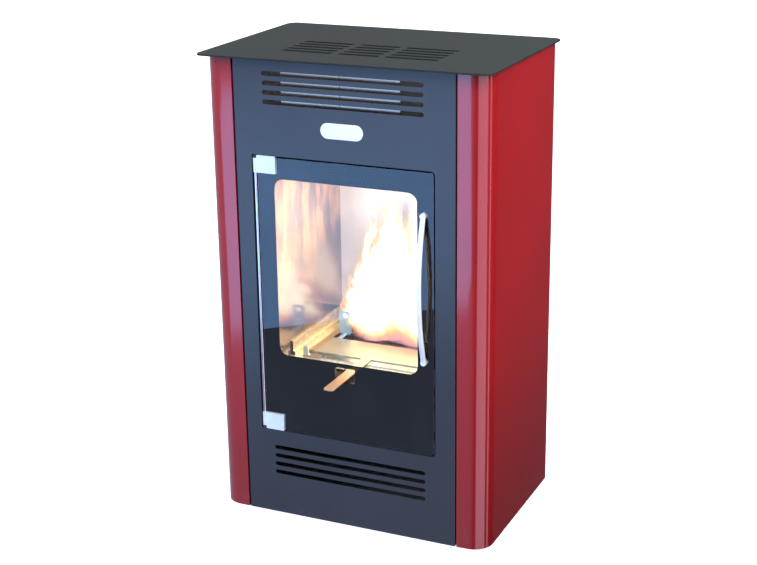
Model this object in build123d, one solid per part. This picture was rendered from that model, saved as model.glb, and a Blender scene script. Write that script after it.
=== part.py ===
"""Free-standing bioethanol stove: folded sheet casing, inset glass door and slide-regulated burner.

Millimetres, +Z up, +X to the right of someone facing the door, +Y towards the back.
Every function works with Y measured from the casing's front face and Z from the floor;
save() then moves the piece so that the origin is at the bottom centre of the whole stove.
"""

import os
from math import hypot

from build123d import *

# Casing: two side shells, a front panel between them, a back panel and a top plate
casing_width = 528.0
casing_depth = 332.0
casing_height = 847.0
front_corner_radius = 36.0
rear_corner_radius = 6.0
shell_sheet = 1.5
rear_return = 30.0
panel_width = 410.0
panel_sheet = 2.0
seam_gap = 3.0
seam_flange = 16.0
bend_radius = 1.5
back_sheet = 1.5
back_overlap = 22.0
top_sheet = 3.0
top_side_overhang = 7.0
top_front_overhang = 17.0
top_back_overhang = 16.0
top_corner_radius = 18.0

# Slots of the top plate: three groups side by side, the middle one shorter
top_slot_height = 12.0
top_slot_pitch = 23.0
top_slot_rows = 5
top_slot_first_row = 69.0
top_slot_outer_length = 98.0
top_slot_middle_length = 76.0
top_slot_group_gap = 11.0

# Louvres of the front panel: the top row's drop from the panel's top edge or rise from its bottom edge
louvre_length = 298.0
louvre_height = 8.0
louvre_pitch = 16.4
louvre_rows = 4
upper_louvre_drop = 25.0
lower_louvre_rise = 131.0

# Badge plate on the front panel
badge_width = 79.0
badge_height = 27.0
badge_sheet = 1.0
badge_drop = 115.0
badge_rivet_spacing = 62.0
rivet_radius = 1.2
rivet_head_radius = 1.9
rivet_head_height = 0.8

# Feet and base tray
foot_height = 10.0
foot_radius = 12.0
foot_chamfer = 1.5
foot_inset_x = 51.0
foot_inset_front = 28.5
foot_inset_back = 40.0
foot_screw_radius = 2.5
foot_screw_length = 9.0
tray_sheet = 1.5
tray_upstand = 25.0
fit_gap = 0.3

# Inner frame
frame_sheet = 1.5
upright_width = 36.0
upright_leg = 28.0
upright_inner_edge = 190.0
rear_upright_width = 18.0
rear_upright_gap = 8.0
top_bar_height = 15.0
top_bar_width = 15.0
bearer_width = 15.0

# Door opening in the front panel and the frame behind it
door_opening_centre = -2.7
door_opening_width = 342.6
door_opening_bottom = 165.0
door_opening_height = 514.2
opening_corner_radius = 8.0
hinge_corner_radius = 1.0
jamb_depth = 10.0
door_frame_sheet = 2.0
door_frame_overlap = 14.0
mouth_width = 284.0
mouth_bottom = 274.0
mouth_top = 648.0
mouth_corner_radius = 10.0

# Glass door
edge_gap = 2.4
glass_thickness = 4.0
glass_setback = 0.6
glass_corner_radius = 6.0
glass_chamfer = 0.6
border_thickness = 0.3
window_width = 268.0
window_bottom = 312.3
window_height = 325.5
window_corner_radius = 18.0

# Hinge of the door: one long rod, a wrap-round clip at each corner and a fixed lug beyond each
rod_radius = 2.6
rod_fit = 0.08
clip_sheet = 1.2
clip_length = 36.0
clip_height = 31.0
clip_overrun = 1.5
clip_corner_radius = 1.0
knuckle_to_jamb = 1.4
knuckle_to_glass = 0.3
lug_height = 5.0
lug_play = 0.3

# Bow handle
handle_x = 148.2
handle_bottom = 336.0
handle_length = 271.0
handle_bow = 24.5
handle_width = 9.5
handle_depth = 7.0
handle_foot_radius = 5.3
screw_radius = 2.0
screw_head_radius = 4.0
screw_head_height = 2.2
screw_clearance = 0.25
washer_radius = 5.5
washer_thickness = 0.8

# Magnetic catch behind the handle side of the glass
catch_x = 156.0
catch_height = 430.0
catch_width = 11.0
catch_length = 34.0
catch_plate_thickness = 1.0
catch_gap = 0.5

# Firebox liner
firebox_width = 306.0
firebox_depth = 290.0
firebox_floor_height = 270.0
firebox_roof_height = 690.0
liner_sheet = 1.5
liner_flange = 14.0
roof_slot_count = 4
roof_slot_length = 200.0
roof_slot_height = 22.0
roof_slot_pitch = 46.0
hood_centre = -8.5
hood_half_width = 110.5
hood_joint = 1.0
shield_gap = 20.0
shield_sheet = 1.0
shield_flange = 12.0
shield_bottom_height = 180.0

# Burner: fuel tank with fibre filling, lid, stepped surround and slide
burner_top = 284.0
lid_sheet = 1.5
lid_width = 260.0
lid_front = 84.0
lid_back = 262.0
fire_slot_width = 212.0
fire_slot_front = 183.0
fire_slot_depth = 42.0
fire_slot_corner_radius = 4.0
tank_sheet = 1.5
tank_depth = 60.0
tank_inset = 12.0
tank_corner_radius = 10.0
tank_drop_in_gap = 2.0
fibre_height = 40.0
fibre_gap = 0.5
surround_sheet = 1.2
surround_gap = 0.5
front_step_count = 3
front_step_width = 6.5
front_step_drop = 2.5
inner_ledge_width = 7.0
inner_ledge_rise = 7.0
rim_width = 3.0
rim_rise = 27.0
latch_width = 10.0
latch_height = 18.0
latch_foot = 8.0
latch_sheet = 1.2
latch_inset = 1.0

# Regulator: slide plate with a flat lever through the glass, and an upright tab with a hole
slide_sheet = 2.0
slide_width = 240.0
slide_front_margin = 78.0
slide_travel = 44.0
slide_play = 0.3
slide_lift = 0.1
lever_width = 20.0
lever_centre = -10.5
lever_reach = 55.0
lever_tip_radius = 6.0
guide_sheet = 1.2
guide_lip = 5.0
guide_foot = 7.0
lever_slot_left = 12.5
lever_slot_right = 14.0
lever_slot_below = 4.6
lever_slot_above = 18.5
lever_slot_radius = 1.5
tab_centre = -103.0
tab_width = 25.0
tab_height = 47.0
tab_hole_radius = 4.8
tab_hole_drop = 9.5
tab_sheet = 1.5
tab_reach = 29.0
tab_neck_width = 8.0
tab_corner_radius = 6.0

# Fasteners of the back panel
back_screw_radius = 1.8
back_screw_head_radius = 3.6
back_screw_head_height = 2.0
back_screw_protrusion = 2.0
back_screw_rows = 4
back_screw_end_margin = 60.0
back_vent_rows = 5
back_vent_length = 220.0
back_vent_first_row = 150.0

# Levels and lines that follow from the sizes above
bottom = foot_height
top = bottom + casing_height
half_casing = casing_width / 2
half_panel = panel_width / 2
seam_x = half_panel + seam_gap
inner_back = casing_depth - shell_sheet
back_panel_front = inner_back - back_sheet
rear_upright_outer_edge = half_casing - rear_return - rear_upright_gap
rear_upright_inner_edge = rear_upright_outer_edge - rear_upright_width
frame_bottom = bottom + tray_sheet
frame_top = top - top_bar_height
opening_left = door_opening_centre - door_opening_width / 2
opening_right = opening_left + door_opening_width
opening_low = bottom + door_opening_bottom
opening_high = opening_low + door_opening_height
knuckle_radius = rod_radius + rod_fit + clip_sheet
hinge_x = opening_left + knuckle_to_jamb + knuckle_radius
hinge_y = glass_setback + glass_thickness / 2
glass_left = hinge_x + knuckle_radius + knuckle_to_glass
glass_right = opening_right - edge_gap
glass_low = opening_low + edge_gap
glass_high = opening_high - edge_gap
glass_back = glass_setback + glass_thickness
border_back = glass_back + border_thickness
handle_seat = glass_setback - handle_depth * 0.4
frame_back = jamb_depth + door_frame_sheet
firebox_back = frame_back + firebox_depth
floor_z = bottom + firebox_floor_height
roof_z = bottom + firebox_roof_height
burner_z = bottom + burner_top
slide_low = burner_z + slide_lift
slide_top = slide_low + slide_sheet
slide_front = fire_slot_front - slide_front_margin
surround_base = floor_z + liner_sheet
ledge_z = burner_z - lid_sheet - tank_sheet
origin_y = (casing_depth + top_back_overhang - lever_reach) / 2


def block(x, y, z):
    """A box between the limits (low, high) on each axis."""
    centre = Pos((x[0] + x[1]) / 2, (y[0] + y[1]) / 2, (z[0] + z[1]) / 2)
    return centre * Box(x[1] - x[0], y[1] - y[0], z[1] - z[0])


def area(first, second, radius=0.0):
    """A flat rectangle between limits on its two axes, with rounded corners."""
    width = first[1] - first[0]
    height = second[1] - second[0]
    shape = RectangleRounded(width, height, radius) if radius else Rectangle(width, height)
    return Pos((first[0] + first[1]) / 2, (second[0] + second[1]) / 2) * shape


def upright(outline, y):
    """An outline drawn in X and Z, as a sheet that fills the Y limits."""
    plane = Plane(origin=(0, y[1], 0), x_dir=(1, 0, 0), z_dir=(0, -1, 0))
    return extrude(plane * outline, amount=y[1] - y[0])


def level(outline, z):
    """An outline drawn in X and Y, as a sheet that fills the Z limits."""
    return extrude(Pos(0, 0, z[0]) * outline, amount=z[1] - z[0])


def rod(x, z, radius, y):
    """A round bar along Y between the Y limits."""
    return upright(Pos(x, z) * Circle(radius), y)


def post(x, y, radius, z):
    """A round bar along Z between the Z limits."""
    return level(Pos(x, y) * Circle(radius), z)


def rows(count, pitch):
    """Offsets of evenly spaced rows, the first at zero."""
    return [index * pitch for index in range(count)]


def mirrored(piece):
    """The same piece on the other side of the stove."""
    return mirror(piece, about=Plane.YZ)


def group(pieces):
    """Separate solids that share one node."""
    return Compound([solid for piece in pieces for solid in piece.solids()])


def save(piece, name):
    """Write a piece with the origin at the bottom centre of the whole stove."""
    solids = [Pos(0, -origin_y, 0) * solid for solid in piece.solids()]
    placed = solids[0] if len(solids) == 1 else Compound(solids)
    placed.label = name
    export_step(placed, f"parts/{name}.step")


def casing_plan(inset):
    """The casing seen from above, drawn in by an inset; the front corners are the large ones."""
    plan = area((inset - half_casing, half_casing - inset), (inset, casing_depth - inset))
    front = plan.vertices().group_by(Axis.Y)[0]
    plan = fillet(front, front_corner_radius - inset)
    rear = plan.vertices().group_by(Axis.Y)[-1]
    return fillet(rear, max(rear_corner_radius - inset, 1.0))


def top_plate():
    half = half_casing + top_side_overhang
    limits = (-top_front_overhang, casing_depth + top_back_overhang)
    plate = level(area((-half, half), limits, top_corner_radius), (top, top + top_sheet))
    plate = fillet(plate.edges().group_by(Axis.Z)[-1], top_sheet / 4)
    reach = (top_slot_middle_length + top_slot_outer_length) / 2 + top_slot_group_gap
    groups = ((-reach, top_slot_outer_length), (0, top_slot_middle_length), (reach, top_slot_outer_length))
    for row in rows(top_slot_rows, top_slot_pitch):
        for centre, length in groups:
            slot = Pos(centre, top_slot_first_row + row) * SlotOverall(length, top_slot_height)
            plate -= level(slot, (top, top + top_sheet))
    return plate


def louvre(top_row):
    """The slots of one louvre, as one flat outline in X and Z."""
    slots = Sketch()
    for row in rows(louvre_rows, louvre_pitch):
        slots += Pos(0, top_row - row) * SlotOverall(louvre_length, louvre_height)
    return slots


def door_outline(x, z, radius):
    """A rectangle in X and Z whose handle side has rounded corners and whose hinge side has tight ones."""
    outline = area(x, z)
    handle_side = outline.vertices().group_by(Axis.X)[-1]
    outline = fillet(handle_side, radius)
    hinge_side = outline.vertices().group_by(Axis.X)[0]
    return fillet(hinge_side, hinge_corner_radius)


def door_opening(grow=0.0):
    """Outline of the opening that the door lies in, in X and Z."""
    sides = (opening_left - grow, opening_right + grow)
    return door_outline(sides, (opening_low - grow, opening_high + grow), opening_corner_radius + grow)


def glass_outline():
    """Outline of the glass pane, in X and Z."""
    return door_outline((glass_left, glass_right), (glass_low, glass_high), glass_corner_radius)


def rivet_places():
    return [(side * badge_rivet_spacing / 2, top - badge_drop) for side in (-1, 1)]


def front_panel():
    """A folded pan: flanges on all four sides, and a jamb folded in round the door opening."""
    pan = block((-half_panel, half_panel), (0, seam_flange), (bottom, top))
    pan = fillet(pan.edges().filter_by(Axis.Z).group_by(Axis.Y)[0], bend_radius)
    inner = (-half_panel + panel_sheet, half_panel - panel_sheet)
    pan -= block(inner, (panel_sheet, seam_flange), (bottom + panel_sheet, top - panel_sheet))
    pan += upright(door_opening(panel_sheet), (panel_sheet, jamb_depth))
    pan -= upright(door_opening(), (0, jamb_depth))
    pan -= upright(louvre(top - upper_louvre_drop), (0, panel_sheet))
    pan -= upright(louvre(bottom + lower_louvre_rise), (0, panel_sheet))
    for x, z in rivet_places():
        pan -= rod(x, z, rivet_radius, (0, panel_sheet))
    return pan


def side_shell():
    """The right shell: seam flange, front strip, round corner, side and rear return in one sheet."""
    ring = casing_plan(0) - casing_plan(shell_sheet)
    ring -= area((-half_casing, seam_x), (0, casing_depth))
    ring -= area((seam_x, half_casing - rear_return), (seam_flange, casing_depth))
    ring += area((seam_x, seam_x + shell_sheet), (0, seam_flange))
    return level(ring, (bottom, top))


def back_panel():
    """A flat sheet inside the shells' rear returns, with one field of air slots below the burner."""
    half = half_casing - rear_return + back_overlap
    sheet = block((-half, half), (back_panel_front, inner_back), (bottom, top))
    for row in rows(back_vent_rows, louvre_pitch):
        slot = Pos(0, bottom + back_vent_first_row + row) * SlotOverall(back_vent_length, louvre_height)
        sheet -= upright(slot, (back_panel_front, inner_back))
    for x, z in back_screw_places():
        sheet -= rod(x, z, back_screw_radius, (back_panel_front, inner_back))
    return sheet


def back_screw_places():
    """Screws down both rear returns, evenly spaced between the end margins."""
    x = half_casing - rear_return + back_overlap / 2
    pitch = (casing_height - 2 * back_screw_end_margin) / (back_screw_rows - 1)
    heights = [bottom + back_screw_end_margin + row for row in rows(back_screw_rows, pitch)]
    return [(side * x, z) for side in (-1, 1) for z in heights]


def back_screws():
    screws = []
    for x, z in back_screw_places():
        head = rod(x, z, back_screw_head_radius, (casing_depth, casing_depth + back_screw_head_height))
        head = fillet(head.edges().group_by(Axis.Y)[-1], back_screw_head_height / 2)
        shank = (back_panel_front - back_screw_protrusion, casing_depth)
        screws.append(head + rod(x, z, back_screw_radius - fit_gap / 2, shank))
    return group(screws)


def shell_with_screw_holes():
    shell = side_shell()
    for x, z in back_screw_places():
        if x > 0:
            shell -= rod(x, z, back_screw_radius, (inner_back, casing_depth))
    return shell


def tray_plan(inset=0.0):
    """The base tray seen from above, between the panel's flanges and the back panel."""
    plan = casing_plan(shell_sheet + fit_gap + inset)
    wide = (-half_casing, half_casing)
    plan -= area(wide, (0, seam_flange + inset))
    return plan - area(wide, (back_panel_front - inset, casing_depth))


def base_tray():
    """Floor with an upstand all round, notched at the front corners where the uprights stand."""
    tray = level(tray_plan(), (bottom, frame_bottom))
    wall = level(tray_plan() - tray_plan(tray_sheet), (frame_bottom, bottom + tray_upstand))
    for side in (-1, 1):
        reach = sorted((side * (upright_inner_edge - fit_gap), side * half_casing))
        wall -= block(reach, (0, seam_flange + frame_sheet + fit_gap), (bottom, top))
        rear = (rear_upright_inner_edge - fit_gap, rear_upright_outer_edge + fit_gap)
        rear = sorted((side * rear[0], side * rear[1]))
        wall -= block(rear, (back_panel_front - frame_sheet - fit_gap, casing_depth), (bottom, top))
    tray += wall
    for x, y in foot_places():
        tray -= post(x, y, foot_screw_radius, (bottom, frame_bottom))
    return tray


def upright_outer_edge():
    return upright_inner_edge + upright_width


def foot_places():
    x = half_casing - foot_inset_x
    return [(side * x, y) for side in (-1, 1) for y in (foot_inset_front, casing_depth - foot_inset_back)]


def feet():
    """Four round pads, each with its own screw up through the tray."""
    pads = []
    for x, y in foot_places():
        pad = post(x, y, foot_radius, (0, bottom))
        pad = chamfer(pad.edges().group_by(Axis.Z)[0], foot_chamfer)
        pads.append(pad + post(x, y, foot_screw_radius - fit_gap / 2, (bottom, bottom + foot_screw_length)))
    return group(pads)


def frame_upright():
    """Front right angle post: its flat bridges the seam, its leg runs back."""
    height = (frame_bottom, frame_top)
    flat_y = (seam_flange, seam_flange + frame_sheet)
    outer = upright_outer_edge()
    flat = block((upright_inner_edge, outer), flat_y, height)
    leg = block((outer - frame_sheet, outer), (flat_y[1], flat_y[1] + upright_leg), height)
    return flat + leg


def frame_upright_rear():
    """Rear right angle post against the back panel."""
    height = (frame_bottom, frame_top)
    flat_y = (back_panel_front - frame_sheet, back_panel_front)
    inner = rear_upright_inner_edge
    flat = block((inner, rear_upright_outer_edge), flat_y, height)
    leg = block((inner, inner + frame_sheet), (flat_y[0] - upright_leg, flat_y[0]), height)
    return flat + leg


def angle_bar_x(x, y, z, leg_at_front):
    """An angle bar along X: a flat on top and a leg down its front or back edge."""
    flat = block(x, y, (z[1] - frame_sheet, z[1]))
    edge = (y[0], y[0] + frame_sheet) if leg_at_front else (y[1] - frame_sheet, y[1])
    return flat + block(x, edge, z)


def top_frame():
    """Four angle bars under the top plate: front and back, and one along each side."""
    z = (frame_top, top)
    outer = upright_outer_edge()
    front_y = (seam_flange, seam_flange + top_bar_width)
    back_y = (back_panel_front - top_bar_width, back_panel_front)
    front = angle_bar_x((-outer, outer), front_y, z, True)
    back = angle_bar_x((-rear_upright_outer_edge, rear_upright_outer_edge), back_y, z, False)
    side_y = (front_y[1], back_y[0])
    side = block((outer - top_bar_width, outer), side_y, (top - frame_sheet, top))
    side += block((outer - frame_sheet, outer), side_y, z)
    return group([front, back, side, mirrored(side)])


def bearer(x_limit, y):
    """Cross bar that carries the firebox floor."""
    return angle_bar_x((-x_limit, x_limit), y, (floor_z - bearer_width, floor_z), True)


def bearer_front():
    start = seam_flange + frame_sheet
    return bearer(upright_outer_edge() - frame_sheet, (start, start + bearer_width))


def bearer_rear():
    end = back_panel_front - frame_sheet
    return bearer(rear_upright_inner_edge, (end - bearer_width, end))


def door_frame():
    """Sheet ring behind the jamb: it carries the hinge lugs, the catch and the firebox liner."""
    ring = door_opening(door_frame_overlap)
    mouth = (-mouth_width / 2, mouth_width / 2)
    ring -= area(mouth, (bottom + mouth_bottom, bottom + mouth_top), mouth_corner_radius)
    return upright(ring, (jamb_depth, frame_back))


def firebox_wall():
    """Right liner wall, with a flange folded out against the door frame."""
    inner = firebox_width / 2
    height = (floor_z + liner_sheet, roof_z)
    wall = block((inner, inner + liner_sheet), (frame_back, firebox_back + liner_sheet), height)
    flange_x = (inner + liner_sheet, inner + liner_sheet + liner_flange)
    return wall + block(flange_x, (frame_back, frame_back + liner_sheet), height)


def firebox_wall_back():
    inner = firebox_width / 2
    back_y = (firebox_back, firebox_back + liner_sheet)
    return block((-inner, inner), back_y, (floor_z + liner_sheet, roof_z))


def tank_plan(inset=0.0):
    """The fuel tank seen from above."""
    half = lid_width / 2 - tank_inset - inset
    limits = (lid_front + tank_inset + inset, lid_back - tank_inset - inset)
    return area((-half, half), limits, max(tank_corner_radius - inset, 1.0))


def firebox_floor_sheet():
    """Floor of the firebox, on both bearers, cut out where the tank drops in."""
    half = firebox_width / 2 + liner_sheet
    sheet = level(area((-half, half), (frame_back, back_panel_front - frame_sheet - fit_gap)),
                  (floor_z, floor_z + liner_sheet))
    return sheet - level(tank_plan(-tank_drop_in_gap), (floor_z, floor_z + liner_sheet))


def firebox_roof_sheet():
    """Roof of the firebox, with slots that let the hot air up under the top plate."""
    half = firebox_width / 2 + liner_sheet
    limits = (frame_back, firebox_back + liner_sheet)
    sheet = level(area((-half, half), limits), (roof_z, roof_z + liner_sheet))
    middle = (limits[0] + limits[1] - (roof_slot_count - 1) * roof_slot_pitch) / 2
    for row in rows(roof_slot_count, roof_slot_pitch):
        slot = Pos(0, middle + row) * SlotOverall(roof_slot_length, roof_slot_height)
        sheet -= level(slot, (roof_z, roof_z + liner_sheet))
    return sheet


def hood_front(side):
    """One of the two polished sheets behind the upper louvre; they meet at a narrow joint."""
    near = hood_centre + side * hood_joint / 2
    far = hood_centre + side * hood_half_width
    height = (roof_z + liner_sheet, top - panel_sheet)
    sheet = block(sorted((near, far)), (frame_back, frame_back + liner_sheet), height)
    foot_y = (frame_back + liner_sheet, frame_back + liner_sheet + shield_flange)
    return sheet + block(sorted((near, far)), foot_y, (height[0], height[0] + liner_sheet))


def heat_shield():
    """Right shield in the air gap beside the firebox, hung on a flange under the top frame."""
    inner = firebox_width / 2 + liner_sheet + shield_gap
    wall_y = (seam_flange + frame_sheet + bearer_width + fit_gap, firebox_back)
    sheet = block((inner, inner + shield_sheet), wall_y, (bottom + shield_bottom_height, frame_top))
    reach = (inner, upright_outer_edge() - frame_sheet)
    return sheet + block(reach, wall_y, (frame_top, frame_top + shield_sheet))


def burner_surround():
    """Folded frame round the burner: a rim and a ledge up the liner, and steps down to the door."""
    inner = firebox_width / 2 - surround_gap
    back_y = firebox_back - surround_gap
    frame = level(area((-inner, inner), (lid_front - front_step_width, back_y)), (surround_base, ledge_z))
    for index in range(1, front_step_count):
        step_back = lid_front - index * front_step_width
        step = area((-inner, inner), (step_back - front_step_width, step_back))
        frame += level(step, (surround_base, ledge_z - index * front_step_drop))
    for width, rise in ((inner_ledge_width, inner_ledge_rise), (rim_width, rim_rise)):
        ledge = area((-inner, inner), (lid_front, back_y))
        ledge -= area((width - inner, inner - width), (lid_front, back_y - width))
        frame += level(ledge, (ledge_z, ledge_z + rise))
    frame -= level(tank_plan(-tank_drop_in_gap), (surround_base, ledge_z))
    underside = frame.faces().sort_by(Axis.Z)[0]
    return offset(frame, amount=-surround_sheet, openings=underside)


def burner_tank():
    """Folded tank, open on top, with a narrow rim that the lid closes."""
    floor = burner_z - lid_sheet - tank_depth
    rim = burner_z - lid_sheet
    tank = level(tank_plan(), (floor, rim))
    tank -= level(tank_plan(tank_sheet), (floor + tank_sheet, rim))
    lip = level(lid_plan() - tank_plan(tank_sheet), (rim - tank_sheet, rim))
    return tank + lip


def lid_plan():
    return area((-lid_width / 2, lid_width / 2), (lid_front, lid_back))


def burner_lid():
    """Top sheet of the burner, with the long fire slot that the slide closes."""
    half = fire_slot_width / 2
    slot_y = (fire_slot_front, fire_slot_front + fire_slot_depth)
    plan = lid_plan() - area((-half, half), slot_y, fire_slot_corner_radius)
    return level(plan, (burner_z - lid_sheet, burner_z))


def burner_fibre():
    """Ceramic fibre filling that holds the fuel."""
    floor = burner_z - lid_sheet - tank_depth + tank_sheet
    return level(tank_plan(tank_sheet + fibre_gap), (floor, floor + fibre_height))


def burner_latches():
    """Four folded corner tabs that hold the lid down on the tank."""
    tabs = []
    for side in (-1, 1):
        for y, inward in ((lid_front + latch_inset, 1), (lid_back - latch_inset, -1)):
            outer = side * (lid_width / 2 - latch_inset)
            x = sorted((outer, outer - side * latch_width))
            foot_y = sorted((y, y + inward * latch_foot))
            stand_y = sorted((y, y + inward * latch_sheet))
            middle = sum(x) / 2
            outline = area(x, (burner_z, burner_z + latch_height - latch_width / 2))
            outline += Pos(middle, burner_z + latch_height - latch_width / 2) * Circle(latch_width / 2)
            foot = block(x, foot_y, (burner_z, burner_z + latch_sheet))
            tabs.append(upright(outline, stand_y) + foot)
    return group(tabs)


def regulator_slide():
    """Slide plate and lever cut from one sheet; the lever's tip corners are rounded."""
    half = slide_width / 2
    plate = area((-half, half), (slide_front, fire_slot_front))
    lever_x = (lever_centre - lever_width / 2, lever_centre + lever_width / 2)
    lever = area(lever_x, (-lever_reach, slide_front))
    lever = fillet(lever.vertices().group_by(Axis.Y)[0], lever_tip_radius)
    return level(plate + lever, (slide_low, slide_top))


def regulator_tab():
    """Folded tab on the slide's rear edge: a narrow neck back, then upright with a hook hole."""
    bend_y = fire_slot_front + tab_reach
    neck_x = (tab_centre - tab_neck_width / 2, tab_centre + tab_neck_width / 2)
    neck = block(neck_x, (fire_slot_front, bend_y), (slide_low, slide_low + tab_sheet))
    width = (tab_centre - tab_width / 2, tab_centre + tab_width / 2)
    outline = area(width, (slide_low, slide_low + tab_height), tab_corner_radius)
    hole_z = slide_low + tab_height - tab_hole_drop
    outline -= Pos(tab_centre, hole_z) * Circle(tab_hole_radius)
    return neck + upright(outline, (bend_y - tab_sheet, bend_y))


def slide_guide():
    """Right guide: a foot on the lid beside the slide and a lip over the slide's end."""
    end = slide_width / 2
    guide_y = (slide_front, fire_slot_front + fire_slot_depth)
    inner = end + slide_play
    foot = block((inner, inner + guide_foot), guide_y, (burner_z, slide_top + slide_play))
    lip_z = (slide_top + slide_play, slide_top + slide_play + guide_sheet)
    return foot + block((end - guide_lip, inner + guide_foot), guide_y, lip_z)


def lever_slot():
    """Opening in the glass that the lever passes, wider on the side that swings past its tip."""
    low = burner_z - lever_slot_below
    left = lever_centre - lever_slot_left
    right = lever_centre + lever_width / 2 + lever_slot_right
    return area((left, right), (low, slide_top + lever_slot_above), lever_slot_radius)


def handle_screw_places():
    low = bottom + handle_bottom + handle_foot_radius
    return [low, low + handle_length - 2 * handle_foot_radius]


def door_glass():
    """One pane, its edges ground, with the lever opening and the two handle holes."""
    pane = upright(glass_outline(), (glass_setback, glass_back))
    pane = chamfer(pane.edges().group_by(Axis.Y)[0], glass_chamfer)
    pane -= upright(lever_slot(), (glass_setback, glass_back))
    for z in handle_screw_places():
        pane -= rod(handle_x, z, screw_radius + screw_clearance, (glass_setback, glass_back))
    return pane


def glass_border():
    """Enamel border on the back of the pane, round the clear window."""
    outline = glass_outline()
    half = window_width / 2
    sill = bottom + window_bottom
    outline -= area((-half, half), (sill, sill + window_height), window_corner_radius)
    outline -= lever_slot()
    for z in handle_screw_places():
        outline -= Pos(handle_x, z) * Circle(washer_radius + fit_gap)
    for low in clip_levels():
        clip_x = (glass_left, glass_left + clip_length + fit_gap)
        outline -= area(clip_x, (low - fit_gap, low + clip_height + fit_gap))
    return upright(outline, (glass_back, border_back))


def clip_levels():
    """Lowest point of the lower and of the upper clip."""
    return (glass_low - clip_overrun, glass_high + clip_overrun - clip_height)


def hinge_clip(low, lug_at_bottom):
    """One sheet wrapped round the rod, with a leaf in front of the glass and one behind."""
    high = low + clip_height
    knuckle = (low + lug_height + lug_play, high) if lug_at_bottom else (low, high - lug_height - lug_play)
    ring = post(hinge_x, hinge_y, knuckle_radius, knuckle)
    leaf_end = glass_left + clip_length
    clear_x = hinge_x + knuckle_radius + lug_play
    front_y = (glass_setback - clip_sheet, glass_setback)
    back_y = (glass_back, glass_back + clip_sheet)
    clip = ring
    for y in (front_y, back_y):
        leaf = upright(area((clear_x, leaf_end), (low, high), clip_corner_radius), y)
        clip += leaf + block((hinge_x, clear_x + clip_corner_radius), y, knuckle)
    clip -= post(hinge_x, hinge_y, rod_radius + rod_fit / 2, (low, high))
    return clip


def hinge_lug(low):
    """Fixed lug from the door frame: its round nose continues the line of the knuckle."""
    z = (low, low + lug_height)
    nose = post(hinge_x, hinge_y, knuckle_radius, z)
    arm = block((hinge_x - knuckle_radius, hinge_x + knuckle_radius), (hinge_y, jamb_depth), z)
    return nose + arm - post(hinge_x, hinge_y, rod_radius + rod_fit, z)


def hinge_rod():
    low, high = clip_levels()
    return post(hinge_x, hinge_y, rod_radius, (low, high + clip_height))


def door_handle():
    """Bow handle: an oval bar on a shallow arc between two round feet that stand on the glass."""
    low = bottom + handle_bottom
    high = low + handle_length
    ends = (low + handle_foot_radius, high - handle_foot_radius)
    path = ThreePointArc((handle_x, handle_seat, ends[0]),
                         (handle_x, glass_setback - handle_bow, (low + high) / 2),
                         (handle_x, handle_seat, ends[1]))
    start = Plane(origin=path @ 0, x_dir=(1, 0, 0), z_dir=path % 0)
    bar = sweep(start * Ellipse(handle_width / 2, handle_depth / 2), path=path)
    bar -= block((handle_x - handle_width, handle_x + handle_width), (glass_setback, jamb_depth), (low, high))
    for end in ends:
        bar += rod(handle_x, end, handle_foot_radius, (handle_seat - handle_depth / 2, glass_setback))
    for z in handle_screw_places():
        bar -= rod(handle_x, z, screw_radius + screw_clearance, (handle_seat, glass_setback))
    return bar


def handle_washers():
    washers = []
    for z in handle_screw_places():
        ring = rod(handle_x, z, washer_radius, (glass_back, glass_back + washer_thickness))
        washers.append(ring - rod(handle_x, z, screw_radius + screw_clearance, (glass_back, jamb_depth)))
    return group(washers)


def handle_screws():
    """Two screws from inside the door, through washer and glass into the handle's ends."""
    screws = []
    seat = glass_back + washer_thickness
    for z in handle_screw_places():
        head = rod(handle_x, z, screw_head_radius, (seat, seat + screw_head_height))
        head = fillet(head.edges().group_by(Axis.Y)[-1], screw_head_height / 2)
        shank = (handle_seat + screw_clearance, seat)
        screws.append(head + rod(handle_x, z, screw_radius, shank))
    return group(screws)


def catch_outline():
    half = catch_width / 2
    low = bottom + catch_height
    return area((catch_x - half, catch_x + half), (low, low + catch_length))


def catch_plate():
    """Steel plate on the enamel behind the glass, which the magnet holds."""
    return upright(catch_outline(), (border_back, border_back + catch_plate_thickness))


def catch_magnet():
    """Magnet block on the door frame, just behind the plate."""
    face = border_back + catch_plate_thickness + catch_gap
    magnet = upright(catch_outline(), (face, jamb_depth))
    return fillet(magnet.edges().filter_by(Axis.Y), 1.0)


def badge():
    """Bare pill-shaped plate, softened at its front edge."""
    plate = upright(Pos(0, top - badge_drop) * SlotOverall(badge_width, badge_height), (-badge_sheet, 0))
    plate = fillet(plate.edges().group_by(Axis.Y)[0], badge_sheet / 3)
    for x, z in rivet_places():
        plate -= rod(x, z, rivet_radius, (-badge_sheet, 0))
    return plate


def badge_rivets():
    rivets = []
    for x, z in rivet_places():
        head = rod(x, z, rivet_head_radius, (-badge_sheet - rivet_head_height, -badge_sheet))
        head = fillet(head.edges().group_by(Axis.Y)[0], rivet_head_height * 0.75)
        rivets.append(head + rod(x, z, rivet_radius - fit_gap / 3, (-badge_sheet, panel_sheet)))
    return group(rivets)


def check_lever_swing():
    """Print how far the glass passes the lever's tip when the door swings open."""
    tip = hypot(lever_centre + lever_width / 2 - hinge_x, lever_reach + hinge_y)
    edge = lever_centre + lever_width / 2 + lever_slot_right - hinge_x
    print(f"door slot passes the lever tip by {edge - tip:.1f} mm")


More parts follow.
